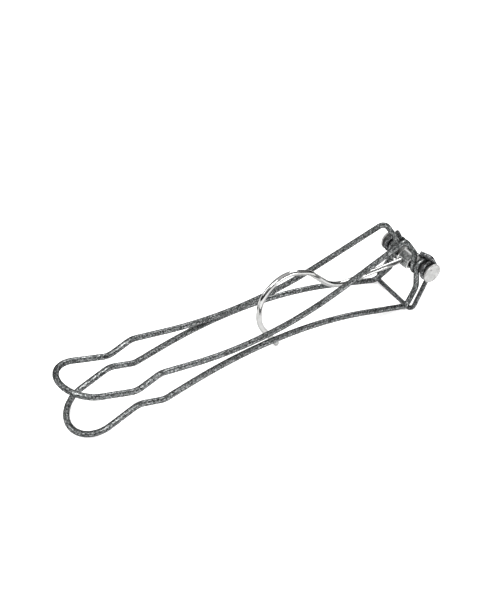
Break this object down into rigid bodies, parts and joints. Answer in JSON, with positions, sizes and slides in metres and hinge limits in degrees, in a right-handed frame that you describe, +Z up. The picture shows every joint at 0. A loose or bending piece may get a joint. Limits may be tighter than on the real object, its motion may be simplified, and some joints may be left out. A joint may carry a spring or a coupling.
{
  "type": "test tube holder",
  "caption": "Hand-held wire test tube holder: sprung U-shaped wire jaws hinged on a riveted pin, with a swinging wire finger hook.",
  "frame": {"origin": "centre of the overall outline on the surface that the holder rests on", "axes": "+X from the jaws to the pivot pin, +Y along the pin towards its riveted cap, +Z up from the resting surface"},
  "size_m": [0.172, 0.0307, 0.0369],
  "materials": {
    "frame_steel": "mottled grey galvanised steel wire",
    "spring_steel": "dark grey spring steel wire",
    "pin_nickel": "satin nickel-plated steel",
    "hook_chrome": "bright nickel-plated wire",
    "strap_nickel": "bright nickel-plated sheet"
  },
  "bodies": {
    "lower_frame": {"lower_jaw_frame": "frame_steel", "torsion_spring": "spring_steel", "pivot_pin": "pin_nickel", "pin_cap": "pin_nickel"},
    "upper_frame": {"upper_jaw_frame": "frame_steel"},
    "hook": {"finger_hook": "hook_chrome", "hook_knuckle": "strap_nickel"}
  },
  "joints": [
    {"name": "jaw_hinge", "type": "hinge", "parent": "lower_frame", "child": "upper_frame", "pos_m": [0.0811, 0, 0.02048], "axis": [0, 1, 0], "range_deg": [0, 30], "stiffness_Nm_per_rad": 0.6, "springref_deg": -28.65, "deforming": ["torsion_spring"]},
    {"name": "hook_swing", "type": "hinge", "parent": "lower_frame", "child": "hook", "pos_m": [0.0811, 0, 0.02048], "axis": [0, 1, 0], "range_deg": [-60, 280]}
  ]
}
